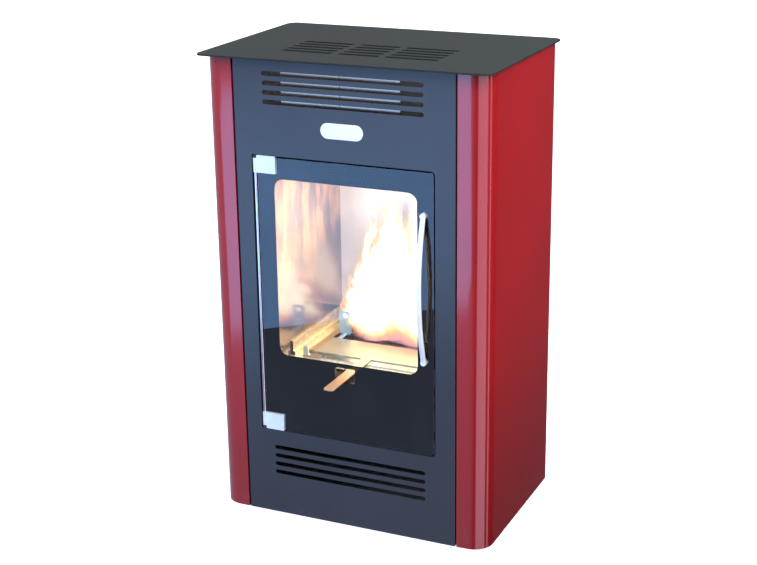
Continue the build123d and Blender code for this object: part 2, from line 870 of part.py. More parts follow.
def main():
    os.makedirs("parts", exist_ok=True)
    check_lever_swing()
    lower_clip, upper_clip = clip_levels()
    right_shell = shell_with_screw_holes()
    save(right_shell, "side_shell_right")
    save(mirrored(right_shell), "side_shell_left")
    save(top_plate(), "top_plate")
    save(front_panel(), "front_panel")
    save(back_panel(), "back_panel")
    save(back_screws(), "back_screws")
    save(badge(), "badge")
    save(badge_rivets(), "badge_rivets")
    save(base_tray(), "base_tray")
    save(feet(), "feet")
    save(frame_upright(), "frame_upright_right")
    save(mirrored(frame_upright()), "frame_upright_left")
    save(frame_upright_rear(), "frame_upright_rear_right")
    save(mirrored(frame_upright_rear()), "frame_upright_rear_left")
    save(top_frame(), "top_frame")
    save(bearer_front(), "bearer_front")
    save(bearer_rear(), "bearer_rear")
    save(door_frame(), "door_frame")
    save(firebox_wall(), "firebox_wall_right")
    save(mirrored(firebox_wall()), "firebox_wall_left")
    save(firebox_wall_back(), "firebox_wall_back")
    save(firebox_floor_sheet(), "firebox_floor")
    save(firebox_roof_sheet(), "firebox_roof")
    save(hood_front(-1), "hood_front_left")
    save(hood_front(1), "hood_front_right")
    save(heat_shield(), "heat_shield_right")
    save(mirrored(heat_shield()), "heat_shield_left")
    save(burner_surround(), "burner_surround")
    save(burner_tank(), "burner_tank")
    save(burner_lid(), "burner_lid")
    save(burner_fibre(), "burner_fibre")
    save(burner_latches(), "burner_latches")
    save(slide_guide(), "slide_guide_right")
    save(mirrored(slide_guide()), "slide_guide_left")
    save(regulator_slide(), "regulator_slide")
    save(regulator_tab(), "regulator_tab")
    save(door_glass(), "door_glass")
    save(glass_border(), "glass_border")
    save(hinge_clip(upper_clip, False), "hinge_clip_upper")
    save(hinge_clip(lower_clip, True), "hinge_clip_lower")
    save(hinge_lug(upper_clip + clip_height - lug_height), "hinge_lug_upper")
    save(hinge_lug(lower_clip), "hinge_lug_lower")
    save(hinge_rod(), "hinge_rod")
    save(door_handle(), "door_handle")
    save(handle_washers(), "handle_washers")
    save(handle_screws(), "handle_screws")
    save(catch_plate(), "catch_plate")
    save(catch_magnet(), "catch_magnet")


main()
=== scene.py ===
"""Looks of a free-standing bioethanol stove: its finishes, flame, screw heads, studio and camera.

Run as a script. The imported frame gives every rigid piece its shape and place, in metres, with +Z up and
the door facing -Y. Each operator below dresses or models one group of pieces.
"""

from math import cos, pi, radians, sin

import bmesh
import bpy
from bpy.props import FloatProperty, FloatVectorProperty, IntProperty, PointerProperty
from mathutils import Matrix, Vector


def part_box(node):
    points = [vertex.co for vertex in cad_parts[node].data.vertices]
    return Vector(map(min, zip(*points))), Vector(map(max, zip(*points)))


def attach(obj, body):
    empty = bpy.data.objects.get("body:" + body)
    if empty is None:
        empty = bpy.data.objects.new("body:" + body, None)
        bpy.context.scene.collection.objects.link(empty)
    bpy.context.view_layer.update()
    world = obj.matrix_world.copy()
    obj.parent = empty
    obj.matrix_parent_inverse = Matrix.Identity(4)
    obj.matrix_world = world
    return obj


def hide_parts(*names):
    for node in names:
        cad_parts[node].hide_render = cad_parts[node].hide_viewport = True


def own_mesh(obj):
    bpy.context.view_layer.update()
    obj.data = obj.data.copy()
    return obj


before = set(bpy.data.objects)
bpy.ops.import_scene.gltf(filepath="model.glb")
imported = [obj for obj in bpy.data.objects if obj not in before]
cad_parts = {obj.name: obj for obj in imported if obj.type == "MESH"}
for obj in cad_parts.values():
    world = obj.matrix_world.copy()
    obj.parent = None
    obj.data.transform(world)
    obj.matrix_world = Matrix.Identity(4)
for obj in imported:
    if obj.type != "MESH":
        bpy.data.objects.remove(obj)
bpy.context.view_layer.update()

bl_info = {
    "name": "Bioethanol stove looks",
    "version": (1, 0, 0),
    "blender": (4, 5, 0),
    "location": "3D View > Sidebar > Stove",
    "description": "Finishes, flame, screw heads and studio of a free-standing bioethanol stove",
    "category": "Object",
}


# Sizes and colours a user would change

def colour(name, description, default):
    return FloatVectorProperty(name=name, description=description, default=default, size=3,
                               min=0.0, max=1.0, subtype="COLOR")


def length(name, description, default):
    return FloatProperty(name=name, description=description, default=default, min=0.0, unit="LENGTH")


def angle(name, description, degrees):
    return FloatProperty(name=name, description=description, default=radians(degrees), subtype="ANGLE")


class StoveColours(bpy.types.PropertyGroup):
    """Base colours of the painted and bare surfaces."""
    shell_red: colour("Shell red", "Gloss lacquer of both side shells", (0.36, 0.009, 0.013))
    panel_slate: colour("Panel slate", "Satin lacquer of the front panel", (0.030, 0.032, 0.041))
    top_grey: colour("Top grey", "Fine textured coat of the top plate", (0.010, 0.0145, 0.0135))
    back_grey: colour("Back grey", "Plain coat of the back panel", (0.06, 0.066, 0.07))
    badge: colour("Badge", "Pale brushed badge above the door", (0.97, 0.99, 1.0))
    pad: colour("Feet", "Polymer of the feet", (0.12, 0.15, 0.2))
    steel: colour("Stainless", "Bare stainless sheet", (0.56, 0.56, 0.57))
    liner: colour("Liner sides", "Polished side walls of the firebox", (0.32, 0.262, 0.262))
    liner_back: colour("Liner back", "Polished back wall of the firebox", (0.84, 0.79, 0.83))
    hood: colour("Hood", "Polished sheets behind the upper louvre", (0.42, 0.35, 0.29))
    surround: colour("Surround", "Folded steps round the burner", (0.88, 0.76, 0.56))
    latch: colour("Latches", "Latches of the burner's lid", (0.95, 0.92, 0.88))
    guide: colour("Guides", "Guides of the regulator's slide", (0.6, 0.45, 0.27))
    slide: colour("Slide", "Regulator's sliding plate and lever", (0.68, 0.62, 0.48))
    # The tab's blue is a painted reflection of the sky.
    tab: colour("Tab", "Upright tab of the regulator", (0.36, 0.52, 0.72))
    fibre: colour("Fibre", "Ceramic fibre in the tank", (0.7, 0.68, 0.62))
    bright: colour("Bright steel", "Polished handle, clips and rod", (0.93, 0.96, 1.0))
    enamel: colour("Enamel", "Black border on the back of the glass", (0.012, 0.0135, 0.019))


class FlameSizes(bpy.types.PropertyGroup):
    """Size, number and colours of the flame's tongues."""
    height: length("Height", "Height of the tallest tongue", 0.37)
    width: length("Width", "Width of the widest tongue", 0.15)
    tongues: IntProperty(name="Tongues", description="Number of tongues along the fire slot", default=9,
                         min=3, max=20)
    hot: colour("Core", "Colour of the flame's core", (1.0, 0.84, 0.55))
    cool: colour("Edge", "Colour of the flame's edge", (1.0, 0.36, 0.08))
    root: colour("Root", "Colour where the vapour catches light", (0.42, 0.22, 0.75))


class StudioSettings(bpy.types.PropertyGroup):
    """Floor and camera."""
    floor_size: length("Floor size", "Side of the square floor", 30.0)
    floor_tone: colour("Floor tone", "Colour of the floor", (0.86, 0.85, 0.85))
    azimuth: angle("Azimuth", "How far the view turns left from straight ahead", 24.589)
    elevation: angle("Elevation", "How far the view tips down", 18.487)
    roll: angle("Roll", "How far the camera leans", -0.792)
    place: FloatVectorProperty(name="Place", description="Where the camera stands",
                               default=(1.1082, -2.4285, 1.3240), size=3, subtype="TRANSLATION")
    lens: FloatProperty(name="Lens", description="Focal length on a 36 mm wide film, in millimetres",
                        default=73.65, min=10.0, unit="CAMERA")


# Places on the burner, from the frame

lid_low, lid_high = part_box("burner_lid")
slot_y = lid_low.y + 0.120
slot_left, slot_right = -0.088, 0.108

# Directions in which steel is brushed: the pattern is drawn out along the squeezed axis

BRUSHED_X = (0.03, 1, 1)
BRUSHED_Y = (1, 0.03, 1)
BRUSHED_Z = (1, 1, 0.03)
COARSE_Y = (1, 0.05, 1)
COARSE_Z = (1, 1, 0.05)

# Tones that belong to a finish rather than to one piece

SHELL_DUST = (0.16, 0.1, 0.09)
PANEL_DUST = (0.2, 0.19, 0.19)
HEAT_COLOURS = ((0.0, (0.56, 0.56, 0.57)), (0.35, (0.62, 0.5, 0.3)), (0.6, (0.42, 0.24, 0.22)),
                (0.8, (0.22, 0.22, 0.42)), (1.0, (0.3, 0.36, 0.44)))
# Painted shadow for the risers that face the door
RISER_SHADOW = (0.03, 0.026, 0.024)
STRAW = (0.72, 0.42, 0.22)
HEAT_BLOOM = (0.55, 0.37, 0.22)
FLAME_REFLECTION_TONE = (0.95, 0.6, 0.36)
SOOT = (0.12, 0.09, 0.075)
ZINC_DARK, ZINC_LIGHT, ZINC_DULL = (0.16, 0.17, 0.18), (0.27, 0.28, 0.3), (0.12, 0.12, 0.12)
PAINT_BLACK, PAINT_GREYED = (0.013, 0.014, 0.016), (0.034, 0.034, 0.036)
SINGED = (0.36, 0.3, 0.24)
FERRITE = (0.03, 0.03, 0.032)
GLASS_MIRROR, GLASS_TINT = (0.95, 0.97, 1.0), (0.93, 0.965, 0.955)
BLACK, WHITE = (0.0, 0.0, 0.0), (1.0, 1.0, 1.0)

# How wide the flame's light is across a tongue, from its foot to its tip

FLAME_OUTLINE = ((0.0, 0.74), (0.1, 0.95), (0.4, 0.9), (0.7, 0.7), (0.9, 0.35), (1.0, 0.0))

# Colours of the room from straight down to straight up, on the left and on the right

COOL_ROOM = ((0.0, (0.42, 0.48, 0.68)), (0.47, (0.45, 0.52, 0.72)), (0.53, (0.45, 0.52, 0.64)),
             (0.7, (0.8, 0.85, 0.92)), (1.0, (0.95, 0.97, 1.0)))
DIM_ROOM = ((0.0, (0.03, 0.025, 0.025)), (0.44, (0.04, 0.03, 0.03)), (0.53, (0.3, 0.3, 0.32)),
            (0.7, (0.7, 0.72, 0.75)), (1.0, (0.95, 0.97, 1.0)))


# Shader building

class Value:
    """A shader socket on which plain arithmetic adds Math nodes."""

    def __init__(self, nodes, socket):
        self.nodes = nodes
        self.socket = socket

    def math(self, operation, *numbers):
        return self.nodes.node("ShaderNodeMath", {"operation": operation}, dict(enumerate(numbers)))

    def __add__(self, other):
        return self.math("ADD", self, other)

    __radd__ = __add__

    def __sub__(self, other):
        return self.math("SUBTRACT", self, other)

    def __rsub__(self, other):
        return self.math("SUBTRACT", other, self)

    def __mul__(self, other):
        return self.math("MULTIPLY", self, other)

    __rmul__ = __mul__

    def __abs__(self):
        return self.math("ABSOLUTE", self)

    def between(self, low, high):
        """0 below low, 1 above high, and smooth from one to the other."""
        return self.nodes.node("ShaderNodeMapRange", {"interpolation_type": "SMOOTHSTEP"},
                               {"Value": self, "From Min": low, "From Max": high})


class Nodes:
    """Fills one node tree."""

    def __init__(self, tree):
        self.tree = tree
        self.tree.nodes.clear()

    def add(self, kind, settings=None, inputs=None):
        """Add one node: its settings first, then the values or links of its sockets."""
        node = self.tree.nodes.new(kind)
        for name, value in (settings or {}).items():
            if name == "stops":
                self.set_stops(node.color_ramp, value)
            else:
                setattr(node, name, value)
        for key, value in (inputs or {}).items():
            self.feed(node.inputs[key], value)
        return node

    def node(self, kind, settings=None, inputs=None, output=0):
        """Add one node and take one of its outputs."""
        return Value(self, self.add(kind, settings, inputs).outputs[output])

    def set_stops(self, ramp, stops):
        """Each stop is its position with a colour or a grey."""
        while len(ramp.elements) < len(stops):
            ramp.elements.new(0.5)
        for element, (position, tone) in zip(ramp.elements, stops):
            element.position = position
            element.color = (*tone, 1.0) if isinstance(tone, tuple) else (tone, tone, tone, 1.0)

    def feed(self, socket, value):
        """Link a socket to a Value, or set it to a number or a colour."""
        if isinstance(value, Value):
            self.tree.links.new(value.socket, socket)
        elif socket.type == "RGBA" and len(value) == 3:
            socket.default_value = (*value, 1.0)
        else:
            socket.default_value = value

    def coordinate(self, kind):
        return self.node("ShaderNodeTexCoord", output=kind)

    def part_of(self, vector, axis):
        return self.node("ShaderNodeSeparateXYZ", None, {0: vector}, output=axis)

    def blend(self, first, second, factor):
        """One colour over another; the colour sockets of a Mix node have these numbers."""
        return self.node("ShaderNodeMix", {"data_type": "RGBA"}, {0: factor, 6: first, 7: second}, output=2)

    def ramp(self, value, stops):
        return self.node("ShaderNodeValToRGB", {"stops": stops}, {0: value})


class Finish(Nodes):
    """A material under construction, built round one Principled shader."""

    def __init__(self, name):
        self.material = bpy.data.materials.new(name)
        self.material.use_nodes = True
        super().__init__(self.material.node_tree)
        self.shader = self.add("ShaderNodeBsdfPrincipled")
        self.output = self.add("ShaderNodeOutputMaterial", None, {"Surface": self.shaded()})

    def shaded(self):
        return Value(self, self.shader.outputs[0])

    def set(self, **values):
        """Set or link the Principled shader's sockets; a name's underscores are spaces."""
        for name, value in values.items():
            self.feed(self.shader.inputs[name.replace("_", " ")], value)

    def place(self, stretch=(1, 1, 1), turn=(0, 0, 0)):
        """Object coordinates, stretched and turned."""
        return self.node("ShaderNodeMapping", None,
                         {"Vector": self.coordinate("Object"), "Scale": stretch, "Rotation": turn})

    def along(self, axis):
        """One coordinate of the place on the object, in metres."""
        return self.part_of(self.coordinate("Object"), axis)

    def facing(self, axis):
        """How far the surface faces along one axis, from -1 to 1."""
        return self.part_of(self.coordinate("Normal"), axis)

    def noise(self, scale, detail=3.0, rough=0.5, stretch=(1, 1, 1), turn=(0, 0, 0)):
        inputs = {"Vector": self.place(stretch, turn), "Scale": scale, "Detail": detail, "Roughness": rough}
        return self.node("ShaderNodeTexNoise", None, inputs)

    def cells(self, scale):
        """Random grey per cell of a crystal pattern."""
        tone = self.node("ShaderNodeTexVoronoi", None, {"Vector": self.place(), "Scale": scale}, output="Color")
        return self.node("ShaderNodeSeparateColor", None, {0: tone})

    def relief(self, height, depth, strength):
        """Feed a height pattern to the normal through a bump of that depth in metres."""
        bump = self.node("ShaderNodeBump", None, {"Strength": strength, "Distance": depth, "Height": height})
        self.feed(self.shader.inputs["Normal"], bump)


def tinted(base, amount):
    """The same colour, lighter above 1 or darker below it."""
    return tuple(min(1.0, channel * amount) for channel in base)


# Finishes

def gloss_lacquer(name, base):
    """Stoved gloss lacquer: faint orange peel, a little dust low down, and painted shade that darkens it towards
    the bottom, most of all on the flat sides.
    """
    f = Finish(name)
    cloud = f.noise(5.0, 4.0, 0.6)
    peel = f.noise(520.0, 2.0, 0.5)
    low = 1 - f.along("Z").between(0.012, 0.09)
    dust = low * f.noise(60.0, 5.0, 0.7).between(0.48, 0.72) * 0.28
    paint = f.blend(tinted(base, 0.93), tinted(base, 1.07), cloud.between(0.3, 0.7))
    # Painted shade: the lacquer darkens towards the bottom, most of all on the flat sides.
    flat_side = abs(f.facing("X")).between(0.7, 0.98)
    painted_shade = (1 - f.along("Z").between(0.0, 0.4)) * (0.35 + 0.3 * cloud + 0.3 * flat_side)
    paint = f.blend(paint, tinted(base, 0.55), painted_shade)
    f.set(Base_Color=f.blend(paint, SHELL_DUST, dust), IOR=1.45, Coat_IOR=1.6, Coat_Roughness=0.12,
          Coat_Weight=1.0 - dust, Roughness=0.3 + 0.08 * cloud, Specular_IOR_Level=0.15)
    f.relief(peel, 0.0002, 0.22)
    return f.material


def satin_lacquer(name, base):
    """Satin lacquer: fine grain, slow drift in tone and sheen, and a trace of dust low down."""
    f = Finish(name)
    cloud = f.noise(4.0, 4.0, 0.55)
    grain = f.noise(1400.0, 2.0, 0.6)
    wipe = f.noise(14.0, 3.0, 0.6, stretch=(1, 1, 0.25))
    paint = f.blend(tinted(base, 0.9), tinted(base, 1.12), cloud.between(0.3, 0.7))
    low = 1 - f.along("Z").between(0.012, 0.08)
    dust = low * f.noise(70.0, 5.0, 0.7).between(0.5, 0.72) * 0.06
    f.set(Base_Color=f.blend(paint, PANEL_DUST, dust), IOR=1.5, Roughness=0.27 + 0.08 * wipe + 0.04 * grain)
    f.relief(grain, 0.00012, 0.3)
    return f.material


def textured_coat(name, base, grit=900.0):
    """Fine textured powder coat: matt, with small grit that catches the light."""
    f = Finish(name)
    cloud = f.noise(3.5, 4.0, 0.55)
    speck = f.noise(grit, 3.0, 0.65)
    fine = f.noise(grit * 2.4, 2.0, 0.5)
    paint = f.blend(tinted(base, 0.86), tinted(base, 1.16), cloud.between(0.28, 0.72))
    paint = f.blend(paint, tinted(base, 1.7), speck.between(0.62, 0.8) * 0.35)
    f.set(Base_Color=paint, IOR=1.4, Roughness=0.56 + 0.1 * cloud + 0.08 * fine)
    f.relief(speck + 0.5 * fine, 0.00035, 0.4)
    return f.material


def sheet_steel(name, base, run, rough, tint=0.0, scuffs=0.12, sheen=1.0, shade=0.0, straw=0.0):
    """Brushed or polished stainless sheet.

    run draws out the brushing, tint adds heat colours near the fire slot, shade paints shadow on the risers that
    face the door, and straw warms the tone towards the door.
    """
    f = Finish(name)
    brushing = f.noise(900.0, 3.0, 0.6, stretch=run)
    broad = f.noise(130.0, 2.0, 0.5, stretch=run)
    cloud = f.noise(7.0, 4.0, 0.6)
    metal = f.blend(tinted(base, 0.86), tinted(base, 1.08), cloud.between(0.3, 0.7) * 0.6 + 0.4 * broad)
    if tint:
        hot = 1 - abs(f.along("Y") - slot_y).between(0.015, 0.11)
        hot = hot * (1 - abs(f.along("X")).between(0.09, 0.15)) * (0.6 + 0.6 * cloud)
        metal = f.blend(metal, f.ramp(hot, HEAT_COLOURS), hot.between(0.1, 0.8) * tint)
    if shade:
        # Painted shadow: risers that face the door turn dark.
        metal = f.blend(metal, RISER_SHADOW, (0 - f.facing("Y")).between(0.4, 0.8) * shade)
    if straw:
        metal = f.blend(metal, STRAW, (1 - f.along("Y").between(-0.17, -0.06)) * straw)
    marks = f.noise(38.0, 6.0, 0.75).between(0.56, 0.66)
    f.set(Base_Color=metal, Metallic=sheen, Roughness=rough + 0.14 * brushing + scuffs * marks)
    f.relief(brushing, 0.00006, 0.35)
    return f.material


def fired_liner(name, base, sheen, painted_flame_reflections=0.0):
    """Polished liner sheet: blurred mirror, upright brushing, warm heat bloom, and soot towards the top.

    The last argument adds upright orange streaks: painted reflections of the flames on the sheet.
    """
    f = Finish(name)
    brushing = f.noise(700.0, 3.0, 0.6, stretch=BRUSHED_Z)
    cloud = f.noise(6.0, 4.0, 0.6)
    bloom = f.noise(9.0, 4.0, 0.6, stretch=(1, 1, 0.5)).between(0.4, 0.68)
    height = f.along("Z")
    metal = f.blend(tinted(base, 0.85), tinted(base, 1.05), cloud.between(0.3, 0.7))
    metal = f.blend(metal, HEAT_BLOOM, bloom * 0.5)
    if painted_flame_reflections:
        # Painted reflection: upright orange streaks standing for the flames mirrored in the sheet.
        lick = f.noise(34.0, 4.0, 0.6, stretch=(1, 1, 0.3)).between(0.42, 0.64)
        metal = f.blend(metal, FLAME_REFLECTION_TONE, lick * height.between(0.42, 0.54) * painted_flame_reflections)
    soot = height.between(0.5, 0.7) * f.noise(16.0, 5.0, 0.65).between(0.35, 0.75)
    metal = f.blend(metal, SOOT, soot * 0.3)
    drops = f.noise(85.0, 4.0, 0.6).between(0.66, 0.72) * 0.2
    f.set(Base_Color=metal, Metallic=sheen, Roughness=0.1 + 0.06 * brushing + 0.1 * soot + drops)
    f.relief(brushing + 0.6 * cloud, 0.0001, 0.25)
    return f.material


def bright_metal(name, base, rough, sheen=1.0):
    """Bright steel with fine scratches and finger marks; sheen below 1 gives a paler, more matt surface whose pale
    colour is a painted reflection of the bright room.
    """
    f = Finish(name)
    scratch = f.noise(1500.0, 3.0, 0.7, stretch=(1, 1, 0.12))
    touch = f.noise(45.0, 4.0, 0.6)
    metal = f.blend(tinted(base, 0.92), tinted(base, 1.05), touch.between(0.3, 0.7))
    f.set(Base_Color=metal, Metallic=sheen, Roughness=rough + 0.06 * scratch + 0.1 * touch.between(0.55, 0.75))
    f.relief(scratch, 0.00003, 0.3)
    return f.material


def zinc_sheet(name):
    """Zinc-coated structural sheet with its crystal pattern."""
    f = Finish(name)
    spangle = f.cells(95.0)
    cloud = f.noise(12.0, 4.0, 0.6)
    metal = f.blend(ZINC_DARK, ZINC_LIGHT, spangle)
    metal = f.blend(metal, ZINC_DULL, cloud.between(0.45, 0.8) * 0.5)
    f.set(Base_Color=metal, Metallic=0.9, Roughness=0.36 + 0.14 * spangle + 0.08 * cloud)
    f.relief(f.noise(420.0, 3.0, 0.6), 0.00008, 0.3)
    return f.material


def heatproof_black(name):
    """Matt heat-proof paint with patches gone grey."""
    f = Finish(name)
    cloud = f.noise(11.0, 4.0, 0.6)
    speck = f.noise(1100.0, 3.0, 0.6)
    f.set(Base_Color=f.blend(PAINT_BLACK, PAINT_GREYED, cloud.between(0.3, 0.75)),
          Roughness=0.52 + 0.14 * speck, IOR=1.45)
    f.relief(speck, 0.00018, 0.4)
    return f.material


def clear_pane(name):
    """Clear glass: what lies behind shows through, and its outer faces mirror the room by their angle."""
    f = Finish(name)
    f.set(Base_Color=GLASS_MIRROR, Metallic=1.0, Roughness=0.015)
    smear = f.noise(6.0, 5.0, 0.6, stretch=(1, 1, 0.5)).between(0.5, 0.8) * 0.02
    inner_face = f.node("ShaderNodeNewGeometry", output="Backfacing")
    fresnel = f.node("ShaderNodeFresnel", None, {"IOR": 1.5})
    mirror = (fresnel * 1.15 + 0.005 + smear) * (1 - inner_face)
    through = f.node("ShaderNodeBsdfTransparent", None, {"Color": GLASS_TINT})
    pane = f.node("ShaderNodeMixShader", None, {0: mirror, 1: through, 2: f.shaded()})
    f.feed(f.output.inputs["Surface"], pane)
    return f.material


def fired_enamel(name, base):
    """Black enamel fired on the back of the glass: deep black through the pane, glossy on the fire's side."""
    f = Finish(name)
    cloud = f.noise(9.0, 4.0, 0.6)
    fire_side = f.facing("Y").between(0.3, 0.6)
    deep = f.blend(tinted(base, 0.03), tinted(base, 0.06), cloud)
    worn = f.blend(base, tinted(base, 2.2), cloud.between(0.35, 0.75))
    f.set(Base_Color=f.blend(deep, worn, fire_side), Roughness=0.4 + 0.12 * cloud, Specular_IOR_Level=0.0,
          Coat_Weight=fire_side, Coat_Roughness=0.1)
    return f.material


def fibre_wool(name, base):
    """Ceramic fibre: matted, off-white, singed a little in patches."""
    f = Finish(name)
    mat = f.noise(260.0, 6.0, 0.8, stretch=(1, 0.35, 1), turn=(0, 0, 0.6))
    tuft = f.noise(60.0, 5.0, 0.7)
    tone = f.blend(tinted(base, 0.7), base, mat.between(0.3, 0.7))
    tone = f.blend(tone, SINGED, f.noise(18.0, 4.0, 0.6).between(0.58, 0.8) * 0.4)
    f.set(Base_Color=tone, Roughness=0.92)
    f.relief(mat + tuft, 0.0015, 0.7)
    return f.material


def moulded_polymer(name, base, rough=0.5):
    """Moulded polymer or sintered magnet, with a fine grain."""
    f = Finish(name)
    grain = f.noise(1200.0, 2.0, 0.6)
    cloud = f.noise(30.0, 3.0, 0.5)
    f.set(Base_Color=f.blend(tinted(base, 0.85), tinted(base, 1.12), cloud), Roughness=rough + 0.1 * grain)
    f.relief(grain, 0.0001, 0.4)
    return f.material


def burning_vapour(name, sizes):
    """The flame: bright core, orange edge and violet root, fading out at the edges of each tongue."""
    f = Finish(name)
    sheet = f.coordinate("UV")
    across, up = f.part_of(sheet, "X"), f.part_of(sheet, "Y")
    lick = f.noise(15.0, 4.0, 0.6, stretch=(1, 1, 0.6))
    streak = f.noise(45.0, 4.0, 0.65, stretch=(1, 1, 0.5))
    drift = (lick - 0.5) * (0.75 + 1.7 * up) + (streak - 0.5) * 0.34
    away = abs(across - 0.5 + drift) * 2
    depth = f.ramp(up, FLAME_OUTLINE) - away
    inside = depth.between(-0.02, 0.42)
    core = depth.between(0.05, 0.75) * (1 - 0.45 * up)
    ragged = up + (lick - 0.5) * 0.22
    glow = f.blend(tuple(sizes.cool), tuple(sizes.hot), core.between(0.05, 0.55))
    glow = f.blend(glow, tinted(sizes.cool, 0.45), (1 - ragged.between(0.03, 0.2)) * 0.95)
    glow = f.blend(glow, tinted(sizes.root, 0.3), (1 - ragged.between(-0.02, 0.1)) * 0.6)
    fade = ragged.between(-0.07, 0.03) * (1 - up.between(0.72, 1.0))
    f.set(Base_Color=BLACK, Roughness=1.0, Specular_IOR_Level=0.0, Emission_Color=glow, Emission_Strength=4.0,
          Alpha=inside * fade * (0.25 + 0.7 * core))
    return f.material


def pale_floor(name, tone):
    """White floor that lights itself, with a faint cloud."""
    f = Finish(name)
    f.set(Base_Color=f.blend(tuple(tone), tinted(tone, 0.985), f.noise(1.3, 3.0, 0.5)), Roughness=0.75,
          Emission_Color=WHITE, Emission_Strength=1.0)
    return f.material


def dress(nodes, material):
    """Put a finish on CAD nodes."""
    for name in nodes:
        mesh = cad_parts[name].data
        mesh.materials.clear()
        mesh.materials.append(material)


# Modelling helpers

def deselect():
    bpy.ops.object.select_all(action="DESELECT")


def select(pieces):
    """Select these pieces alone, with the first as the active one."""
    deselect()
    for piece in pieces:
        piece.select_set(True)
    bpy.context.view_layer.objects.active = pieces[0]


def named(name):
    """Name the active object and its data."""
    piece = bpy.context.active_object
    piece.name = name
    piece.data.name = name
    return piece


def join(pieces, name):
    """Join finished pieces into one object at the origin."""
    select(pieces)
    bpy.ops.object.join()
    bpy.ops.object.transform_apply(location=True, rotation=True, scale=True)
    return named(name)


def apply_modifier(piece, kind, **settings):
    """Add one modifier, set it and make it part of the mesh."""
    modifier = piece.modifiers.new(kind.lower(), kind)
    for name, value in settings.items():
        setattr(modifier, name, value)
    bpy.context.view_layer.objects.active = piece
    bpy.ops.object.modifier_apply(modifier=modifier.name)


def fasteners(node):
    """Lowest and highest corner of each solid of a CAD node."""
    mesh = bmesh.new()
    mesh.from_mesh(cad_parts[node].data)
    bmesh.ops.remove_doubles(mesh, verts=mesh.verts, dist=1e-6)
    seen = set()
    corners = []
    for start in mesh.verts:
        if start in seen:
            continue
        solid = [start]
        seen.add(start)
        for vertex in solid:
            for edge in vertex.link_edges:
                other = edge.other_vert(vertex)
                if other not in seen:
                    seen.add(other)
                    solid.append(other)
        places = [vertex.co for vertex in solid]
        corners.append([Vector([limit(place[axis] for place in places) for axis in range(3)])
                        for limit in (min, max)])
    mesh.free()
    return corners


def rod_along_y(sides, radius, x, start, end, z):
    """A closed rod from one Y to another, applied to its mesh."""
    deselect()
    bpy.ops.mesh.primitive_cylinder_add(vertices=sides, radius=radius, depth=end - start,
                                        location=(x, (start + end) / 2, z), rotation=(pi / 2, 0, 0))
    rod = bpy.context.active_object
    bpy.ops.object.transform_apply(location=True, rotation=True, scale=True)
    return rod


def recess_cutters(recess, radius, depth, x, y, z):
    """Cutters for a cross or for a hexagon in a screw head."""
    if recess == "hexagon":
        reach = depth * 0.7
        return [rod_along_y(6, radius * 0.5, x, y - reach, y + reach, z)]
    arms = []
    for turn in (pi / 4, -pi / 4):
        deselect()
        bpy.ops.mesh.primitive_cube_add(size=1, location=(x, y, z), rotation=(0, turn, 0),
                                        scale=(radius * 1.15, depth * 1.3, radius * 0.3))
        arms.append(bpy.context.active_object)
    return arms


def screw(low, high, shank_radius, head_depth, recess):
    """The two solids of one screw along Y: a domed head with its recess at the +Y end, and the shank."""
    radius = (high.x - low.x) / 2
    x, z = (low.x + high.x) / 2, (low.z + high.z) / 2
    seat = high.y - head_depth
    head = rod_along_y(40, radius, x, seat, high.y, z)
    bpy.ops.object.mode_set(mode="EDIT")
    mesh = bmesh.from_edit_mesh(head.data)
    for edge in mesh.edges:
        edge.select_set(all(vertex.co.y > high.y - 1e-6 for vertex in edge.verts))
    bmesh.update_edit_mesh(head.data)
    bpy.ops.mesh.bevel(offset=head_depth * 0.6, segments=4, profile=0.5)
    bpy.ops.object.mode_set(mode="OBJECT")
    for cutter in recess_cutters(recess, radius, head_depth, x, high.y, z):
        apply_modifier(head, "BOOLEAN", operation="DIFFERENCE", object=cutter, solver="EXACT")
        bpy.data.objects.remove(cutter)
    return [head, rod_along_y(24, shank_radius, x, low.y, seat, z)]


def screws_with_recess(node, name, shank_radius, head_depth, recess, body):
    """Model one screw, copy it to the place of each of the node's screws, and let the set replace the node."""
    places = fasteners(node)
    low, high = places[0]
    first = join(screw(low, high, shank_radius, head_depth, recess), name)
    screws = [first]
    for corner, _ in places[1:]:
        select([first])
        bpy.ops.object.duplicate(linked=False)
        bpy.ops.transform.translate(value=corner - low)
        screws.append(bpy.context.active_object)
    piece = join(screws, name)
    bpy.ops.object.shade_smooth_by_angle(angle=radians(35))
    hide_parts(node)
    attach(piece, body)
    return piece


# Operators

class STOVE_OT_casing(bpy.types.Operator):
    """Dress the shells, front panel, top plate, back panel, badge and feet"""
    bl_idname = "stove.casing"
    bl_label = "Casing"

    def execute(self, context):
        tones = context.scene.stove_colours
        dress(("side_shell_right", "side_shell_left"), gloss_lacquer("red_gloss_lacquer", tones.shell_red))
        dress(("front_panel",), satin_lacquer("slate_satin_lacquer", tones.panel_slate))
        dress(("top_plate",), textured_coat("grey_textured_coat", tones.top_grey))
        dress(("back_panel",), textured_coat("grey_back_coat", tones.back_grey, grit=600.0))
        # The badge's low sheen and pale colour are a painted reflection of the bright room.
        dress(("badge",), sheet_steel("badge_brushed", tones.badge, BRUSHED_X, rough=0.34, sheen=0.12))
        dress(("badge_rivets",), bright_metal("rivet_bright", tones.bright, rough=0.12))
        dress(("feet",), moulded_polymer("foot_polymer", tones.pad))
        return {"FINISHED"}


class STOVE_OT_frame(bpy.types.Operator):
    """Dress the tray, posts, bars, bearers, heat shields, door frame and magnet"""
    bl_idname = "stove.frame"
    bl_label = "Inner frame"

    def execute(self, context):
        dress(("base_tray", "frame_upright_right", "frame_upright_left", "frame_upright_rear_right",
               "frame_upright_rear_left", "top_frame", "bearer_front", "bearer_rear",
               "heat_shield_right", "heat_shield_left"), zinc_sheet("zinc_coated_sheet"))
        dress(("door_frame", "hinge_lug_upper", "hinge_lug_lower"), heatproof_black("heatproof_black_paint"))
        dress(("catch_magnet",), moulded_polymer("ferrite", FERRITE, rough=0.42))
        return {"FINISHED"}


